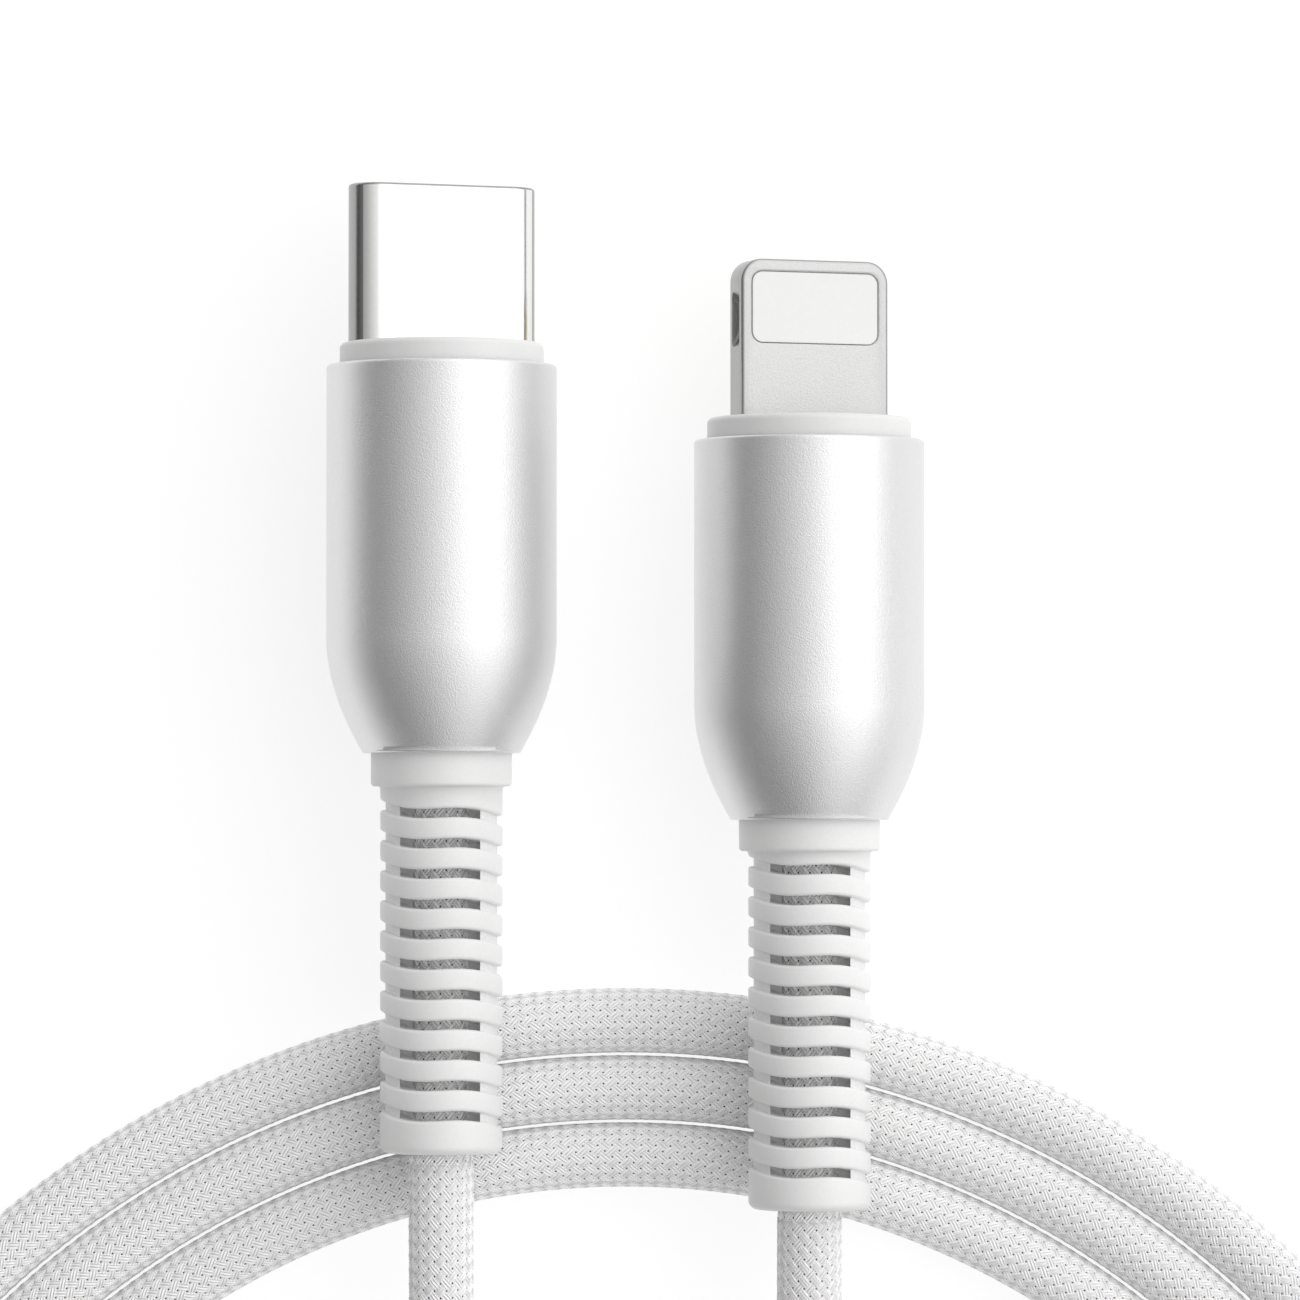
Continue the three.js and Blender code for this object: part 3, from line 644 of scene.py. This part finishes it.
def collar(name, hole):
    """The white ring in the housing's mouth, with the connector's hole through it."""
    edge = 0.24
    rounding = fillet((COLLAR_RADIUS - edge, COLLAR_PROUD - edge), edge, 0, 90, 7)
    rows = [(COLLAR_BACK, COLLAR_RADIUS), (COLLAR_PROUD - edge - 0.02, COLLAR_RADIUS)]
    rows += [(y, r) for r, y in rounding]
    angle = np.linspace(0, TAU, len(hole), endpoint=False)
    circle = np.stack([np.cos(angle), np.sin(angle)], -1)
    rings = [np.column_stack([hole[:, 0], np.full(len(hole), COLLAR_BACK), hole[:, 1]])]
    rings += [np.column_stack([r * circle[:, 0], np.full(len(hole), y), r * circle[:, 1]]) for y, r in rows]
    rings += [np.column_stack([hole[:, 0], np.full(len(hole), COLLAR_PROUD), hole[:, 1]])]
    quads = grid_quads(len(rings), len(hole), wrap_rows=True)
    points = moved(np.concatenate(rings), placing(name, True))
    made = mesh_piece(f"{name}_front_collar", points, quads, WHITE_PLASTIC, sharp=50)
    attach(made, f"{name}_plug")
    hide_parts(f"{name}_collar")


def boot_wave(x):
    """How far the ribs' edges run forwards at a place across the boot."""
    u = x / RIB_RADIUS
    return 0.12 * u - 0.45 * u ** 3


def boot_ring(section, waves, segments=144):
    """Points of one ring; waves says how far each point of the section follows the wave."""
    angle = np.linspace(0, TAU, segments, endpoint=False)
    section = np.asarray(section, float)
    y = section[:, 1:] + np.asarray(waves, float)[:, None] * boot_wave(RIB_RADIUS * np.cos(angle))
    return np.stack([section[:, :1] * np.cos(angle), y, section[:, :1] * np.sin(angle)], -1)


def boot(name):
    spec = PLUGS[name]
    front = -spec["housing"]
    neck_back = front - spec["neck"]
    tail = neck_back - spec["boot"]
    bore = BOOT_BORE + BORE_EASE
    soft, tail_soft, neck_soft = 0.14, 0.36, 0.16
    rings = []
    for k in range(RIB_COUNT):
        high = tail + END_CAP + (RIB_COUNT - k) * RIB_PITCH
        low = high - RIB_PITCH + SLOT_HEIGHT
        section = np.vstack([
            [bore, low],
            fillet((RIB_RADIUS - soft, low + soft), soft, -90, 0, 5),
            fillet((RIB_RADIUS - soft, high - soft), soft, 0, 90, 5),
            [bore, high],
        ])
        rings.append(boot_ring(section, np.ones(len(section))))
    cap_top = tail + END_CAP
    cap = np.vstack([
        [bore, tail],
        fillet((RIB_RADIUS - tail_soft, tail + tail_soft), tail_soft, -90, 0, 8),
        fillet((RIB_RADIUS - soft, cap_top - soft), soft, 0, 90, 5),
        [bore, cap_top],
    ])
    rings.append(boot_ring(cap, [0] * 9 + [1] * 6))  # only the edge at a slot follows the wave
    block_foot = cap_top + RIB_COUNT * RIB_PITCH + SLOT_HEIGHT
    block = np.vstack([
        [bore, block_foot],
        fillet((RIB_RADIUS - soft, block_foot + soft), soft, -90, 0, 5),
        [RIB_RADIUS, neck_back - 0.08],
        [RIB_RADIUS + 0.08, neck_back],
        fillet((NECK_RADIUS - neck_soft, neck_back + neck_soft), neck_soft, -90, 0, 6),
        [NECK_RADIUS, front - 0.05],
        [NECK_RADIUS - 0.1, front - 0.03],
        [NECK_RADIUS - 0.1, front + NECK_IN_HOUSING],
        [bore, front + NECK_IN_HOUSING],
    ])
    rings.append(boot_ring(block, [1] * 6 + [0] * (len(block) - 6)))
    points, quads, count = [], [], 0
    for ring in rings:
        points.append(ring.reshape(-1, 3))
        quads.append(grid_quads(*ring.shape[:2], wrap_rows=True) + count)
        count += len(points[-1])
    place = placing(name)
    points = moved(np.concatenate(points), place)
    ribs = mesh_piece(f"{name}_boot_ribs", points, np.concatenate(quads), BOOT_WHITE, sharp=50)
    webs = boot_webs(name, tail + WEB_FROM, neck_back - WEB_TO, place)
    inside = inner_cord(name, tail, front, place)
    for made, slot in ((ribs, "boot"), (webs, "boot"), (inside, "braid")):
        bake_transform(made)
    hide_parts(f"{name}_boot")
    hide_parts(f"{name}_cord_core")


def boot_webs(name, low, high, place):
    """The two walls that hold the ribs together beside the windows, each with a step in to the cord."""
    half = math.degrees(math.acos(WINDOW_HALF / WEB_RADIUS))
    inner = COVER_RADIUS + LEDGE_GAP
    inner_half = math.degrees(math.asin(LEDGE_HEIGHT / inner))
    section = np.vstack([
        arc(0, 0, WEB_RADIUS, -half, half, 20),
        [[WINDOW_HALF, LEDGE_HEIGHT]],
        arc(0, 0, inner, inner_half, -inner_half, 20),
        [[WINDOW_HALF, -LEDGE_HEIGHT]],
    ])
    y = np.linspace(low, high, 60)
    points, quads = [], []
    for turn in (1, -1):
        wall = np.stack([
            np.repeat(turn * section[None, :, 0], len(y), 0),
            np.repeat(y[:, None], len(section), 1),
            np.repeat(turn * section[None, :, 1], len(y), 0),
        ], -1)
        quads.append(grid_quads(len(y), len(section)) + len(points) * len(y) * len(section))
        points.append(wall.reshape(-1, 3))
    points = moved(np.concatenate(points), place)
    return mesh_piece(f"{name}_boot_webs", points, np.concatenate(quads), WEB_WHITE, sharp=50)


def inner_cord(name, tail, front, place):
    """The braided cord inside the boot, from inside the free cord's cover to inside the housing."""
    low, high, count = tail - STUB, front + CORD_IN_HOUSING, 60
    straight = np.column_stack([np.zeros(count), np.linspace(low, high, count), np.zeros(count)])
    reach = np.linspace(0, high - low, count)
    name, last = f"{name}_cord_in_boot", crossings_in(reach[-1])
    return braid_piece(name, moved(straight, place), reach, 0, last, FINE, GLOWING_BOOT_BRAID, BOOT_CORD_RADIUS)


# ---- connectors -----------------------------------------------------------------------------------

def stadium(width, height, count=96):
    """Points round a flat connector's outline, evenly by angle from its middle."""
    angle = np.linspace(0, TAU, count, endpoint=False)
    r = height / 2
    reach = width / 2 - r
    c, s = np.cos(angle), np.sin(angle)
    with np.errstate(divide="ignore"):
        flat = np.where(np.abs(s) > 1e-9, r / np.abs(s), np.inf)
    side = reach * np.abs(c) + np.sqrt(np.maximum(0, r * r - (reach * s) ** 2))
    distance = np.where(np.abs(flat * c) <= reach, flat, side)
    return np.stack([distance * c, distance * s], -1)


def stadium_ring(width, height, y, count=128):
    """The same outline with its points spread along it, so that the round ends are smooth."""
    r, reach = height / 2, width / 2 - height / 2
    half = count // 4
    ends = [arc(reach, 0, r, -90, 90, 3 * half // 2), arc(-reach, 0, r, 90, 270, 3 * half // 2)]
    lines = [np.linspace([reach, r], [-reach, r], half // 2 + 2)[1:-1]]
    lines += [np.linspace([-reach, -r], [reach, -r], half // 2 + 2)[1:-1]]
    flat = np.vstack([ends[0], lines[0], ends[1], lines[1]])
    return np.column_stack([flat[:, 0], np.full(len(flat), y), flat[:, 1]])


def usb_shell():
    w, h, wall, tip = SHELL_WIDTH, SHELL_HEIGHT, SHELL_WALL, CONNECTOR_TIP
    edge = wall / 2
    rows = [(0, CONNECTOR_BACK), (0, -0.5), (0, tip - edge)]
    rounding = np.linspace(0.2, math.pi - 0.2, 9)
    rows += [(edge * (1 - math.cos(t)), tip - edge + edge * math.sin(t)) for t in rounding]
    rows += [(wall, tip - edge), (wall, 0.0), (wall, CONNECTOR_BACK)]
    rings = [stadium_ring(w - 2 * inset, h - 2 * inset, y) for inset, y in rows]
    quads = grid_quads(len(rings), len(rings[0]), wrap_rows=True)
    points = np.concatenate(rings)
    placed = moved(points, placing("usb_c", True))
    made = mesh_piece("usb_c_steel_shell", placed, quads, SHELL_STEEL, sharp=60)
    # The shell's round ends and its front rim take the darker steel, as painted dark reflection.
    made.data.materials.append(DARK_REFLECTION_STEEL)
    middle = points[quads].mean(1)
    ends = np.abs(middle[:, 0]) > w / 2 - SHELL_END
    rim = middle[:, 1] > tip - SHELL_RIM
    made.data.polygons.foreach_set("material_index", (ends | rim).astype(np.int32))
    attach(made, "usb_c_plug")
    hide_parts("usb_c_shell")


def flat_curve(name, loops, thickness, bevel):
    """A plate with bevelled edges from closed outlines of [x, y] points; inner outlines are holes."""
    data = bpy.data.curves.new(name, "CURVE")
    data.dimensions = "2D"
    data.fill_mode = "BOTH"
    for loop in loops:
        spline = data.splines.new("POLY")
        spline.points.add(len(loop) - 1)
        for point, (x, y) in zip(spline.points, loop):
            point.co = (x, y, 0, 1)
        spline.use_cyclic_u = True
    data.extrude = thickness / 2 - bevel
    data.bevel_depth = bevel
    data.bevel_resolution = 3
    data.offset = -bevel
    holder = bpy.data.objects.new(name, data)
    bpy.context.scene.collection.objects.link(holder)
    bpy.context.view_layer.update()
    mesh = bpy.data.meshes.new_from_object(holder.evaluated_get(bpy.context.evaluated_depsgraph_get()))
    bpy.data.objects.remove(holder)
    bpy.data.curves.remove(data)
    mesh.name = name
    return mesh


def tab_outline():
    half, tip = TAB_WIDTH / 2, CONNECTOR_TIP
    right = np.vstack([
        [[half, CONNECTOR_BACK]],
        arc(half - TAB_CORNER, tip - TAB_CORNER, TAB_CORNER, 0, 90, 24),
    ])
    return np.vstack([right, (right * [-1, 1])[::-1]])


def notch_tools():
    """Two short drums that cut the catches' hollows into the tab's side walls."""
    sides, bevel = 64, 0.1
    angle = np.linspace(0, TAU, sides, endpoint=False)
    r, half = NOTCH_RADIUS, NOTCH_HEIGHT / 2
    rows = [(r - bevel, -half), (r, bevel - half), (r, half - bevel), (r - bevel, half)]
    points, quads, caps = [], [], []
    for k, side in enumerate((-1, 1)):
        x, y = side * (TAB_WIDTH / 2 + NOTCH_OUT), CONNECTOR_TIP - NOTCH_BACK
        first = k * len(rows) * sides
        last = first + (len(rows) - 1) * sides
        points += [
            np.stack([x + r * np.cos(angle), y + r * np.sin(angle), np.full(sides, z)], -1)
            for r, z in rows
        ]
        quads.append(grid_quads(len(rows), sides) + first)
        caps += [np.arange(sides)[::-1] + first, np.arange(sides) + last]
    return mesh_piece("notch_tools", np.concatenate(points), np.concatenate(quads), TAB_STEEL, caps=caps)


def cut_away(obj, tools):
    """Subtracts the tools from the object's mesh, and removes them."""
    cutter = obj.modifiers.new("cut", "BOOLEAN")
    cutter.operation = "DIFFERENCE"
    cutter.object = tools
    cutter.solver = "EXACT"
    bpy.context.view_layer.update()
    result = obj.evaluated_get(bpy.context.evaluated_depsgraph_get())
    mesh = bpy.data.meshes.new_from_object(result)
    obj.modifiers.clear()
    obj.data = mesh
    bpy.data.objects.remove(tools)


def pad_window(inset=0.0):
    """The window's outline in the tab's face, or one that lies inside it by the inset."""
    half, high = PAD_WIDTH / 2 - inset, CONNECTOR_TIP - PAD_FROM_TIP
    return rounded_loop(-half, half, high - PAD_LENGTH + inset, high - inset, PAD_CORNER - inset)


def phone_tab():
    mesh = flat_curve("phone_tab_plate", [tab_outline(), pad_window()], TAB_HEIGHT, TAB_EDGE)
    mesh.transform(Matrix.Scale(MM, 4))
    made = bpy.data.objects.new("phone_tab_plate", mesh)
    bpy.context.scene.collection.objects.link(made)
    cut_away(made, notch_tools())
    mesh = made.data
    mesh.transform(Matrix.Scale(MM, 4) @ placing("phone", True) @ Matrix.Scale(1 / MM, 4))
    mesh.materials.clear()
    mesh.materials.append(TAB_STEEL)
    mesh.materials.append(DARK_REFLECTION_STEEL)
    across = (placing("phone", True).to_3x3() @ Vector((0, 0, 1))).normalized()
    back = placing("phone", True).inverted() @ Matrix.Scale(1 / MM, 4)

    margin = 0.1
    high = CONNECTOR_TIP - PAD_FROM_TIP + margin
    low = high - PAD_LENGTH - 2 * margin

    def in_window(point):
        return abs(point.x) < PAD_WIDTH / 2 + margin and low < point.y < high

    # Painted reflection: the tab's side walls and bevels away from the window take the darker steel; its flat
    # faces stay satin steel.
    for face in mesh.polygons:
        face.use_smooth = True
        flat = abs(face.normal.dot(across)) > 0.99
        face.material_index = 0 if flat or in_window(back @ face.center) else 1
    mesh.set_sharp_from_angle(angle=math.radians(25))
    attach(made, "phone_plug")
    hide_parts("phone_tab")


def pad_seal():
    """A ring that closes the fine gap between the insert and the tab's window."""
    loops = [pad_window(), pad_window(SEAL_WIDTH)]
    mesh = flat_curve("phone_pad_seal", loops, TAB_HEIGHT - 2 * SEAL_SINK, 0)
    mesh.transform(Matrix.Scale(MM, 4) @ placing("phone", True))
    mesh.materials.clear()
    mesh.materials.append(WEB_WHITE)
    made = bpy.data.objects.new("phone_pad_seal", mesh)
    bpy.context.scene.collection.objects.link(made)
    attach(made, "phone_plug")


def rectangle(width, height, count=96):
    angle = np.linspace(0, TAU, count, endpoint=False)
    c, s = np.abs(np.cos(angle)), np.abs(np.sin(angle))
    distance = np.minimum(width / 2 / np.maximum(c, 1e-9), height / 2 / np.maximum(s, 1e-9))
    return np.stack([distance * np.cos(angle), distance * np.sin(angle)], -1)


for plug in PLUGS:
    housing(plug)
    boot(plug)
collar("usb_c", stadium(SHELL_WIDTH + SHELL_PLAY, SHELL_HEIGHT + SHELL_PLAY))
collar("phone", rectangle(TAB_WIDTH + TAB_PLAY, TAB_HEIGHT + TAB_PLAY))
usb_shell()
phone_tab()
pad_seal()


# ---- finishes of the CAD pieces that stay ----------------------------------------------------------

KEPT = {
    "inner_mould": WHITE_PLASTIC, "crimp": PLAIN_STEEL, "board": BOARD_GREEN, "chip": BLACK_PLASTIC,
    "insulator": BLACK_PLASTIC, "contacts_upper": GOLD, "contacts_lower": GOLD, "latch": PLAIN_STEEL,
    "pad_block": PAD_WHITE, "contacts": GOLD, **WIRES,
}
for node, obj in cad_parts.items():
    for plug in PLUGS:
        part = node.removeprefix(plug + "_")
        if node.startswith(plug) and part in KEPT:
            obj.data.materials.clear()
            obj.data.materials.append(KEPT[part])


# ---- floor and light ------------------------------------------------------------------------------

FLOOR_SIZE = 3.0
FLOOR_GLOW = 0.72
SKY_CENTRE = (0.84, 0, 0.54)
# Light across the sky, from the side away from the centre to the centre itself.
SKY_STEPS = [(0.0, 0.01), (0.3, 0.2), (0.5, 0.3), (0.8, 0.51), (1.0, 1.0)]
SKY_STRENGTH = 1.63
SKY_LEAN = 0.5  # how much more light comes from the connectors' side than from the coil's
HORIZON_DARK = 0.18  # of the sky's light that is left at the horizon
HORIZON_HEIGHT = 0.43
bpy.ops.mesh.primitive_plane_add(size=FLOOR_SIZE, location=(0, 0, 0))
floor = bpy.context.object
floor.name = "floor"
floor.data.materials.append(
    finish("paper", (0.35, 0.35, 0.35), 0.9, Emission_Color=(1, 1, 1, 1), Emission_Strength=FLOOR_GLOW))


def studio_sky():
    """A long soft strip high on the right, falling off to a dark wall low on the left."""
    world = bpy.data.worlds.new("studio")
    world.use_nodes = True
    tree = world.node_tree

    def node(kind, operation, inputs):
        made = tree.nodes.new(kind)
        if operation:
            made.operation = operation
        for socket, value in inputs.items():
            if isinstance(value, bpy.types.NodeSocket):
                tree.links.new(value, made.inputs[socket])
            else:
                made.inputs[socket].default_value = value
        return made

    look = node("ShaderNodeTexCoord", None, {}).outputs["Generated"]
    flat = node("ShaderNodeVectorMath", "MULTIPLY", {0: look, 1: (1, 0, 1)}).outputs["Vector"]
    across = node("ShaderNodeVectorMath", "NORMALIZE", {0: flat}).outputs["Vector"]
    centre = Vector(SKY_CENTRE).normalized()
    turn = node("ShaderNodeVectorMath", "DOT_PRODUCT", {0: across, 1: centre}).outputs["Value"]
    share = node("ShaderNodeMapRange", None, {"Value": turn, "From Min": -1}).outputs["Result"]
    ramp = node("ShaderNodeValToRGB", None, {"Fac": share})
    elements = ramp.color_ramp.elements
    while len(elements) < len(SKY_STEPS):
        elements.new(0.5)
    for element, (position, value) in zip(elements, SKY_STEPS):
        element.position = position
        element.color = (value, value, value, 1)
    parts = node("ShaderNodeSeparateXYZ", None, {"Vector": look})
    rise = node("ShaderNodeMapRange", None, {
        "Value": parts.outputs["Z"],
        "From Max": HORIZON_HEIGHT,
        "To Min": HORIZON_DARK * SKY_STRENGTH,
        "To Max": SKY_STRENGTH,
    })
    rise.interpolation_type = "SMOOTHSTEP"
    lean = node("ShaderNodeMath", "MULTIPLY_ADD", {0: parts.outputs["Y"], 1: SKY_LEAN, 2: 1})
    strength = node("ShaderNodeMath", "MULTIPLY", {0: rise.outputs["Result"], 1: lean.outputs["Value"]})
    back = tree.nodes["Background"]
    tree.links.new(ramp.outputs["Color"], back.inputs["Color"])
    tree.links.new(strength.outputs["Value"], back.inputs["Strength"])
    bpy.context.scene.world = world


studio_sky()
bpy.context.scene.view_settings.view_transform = "Standard"
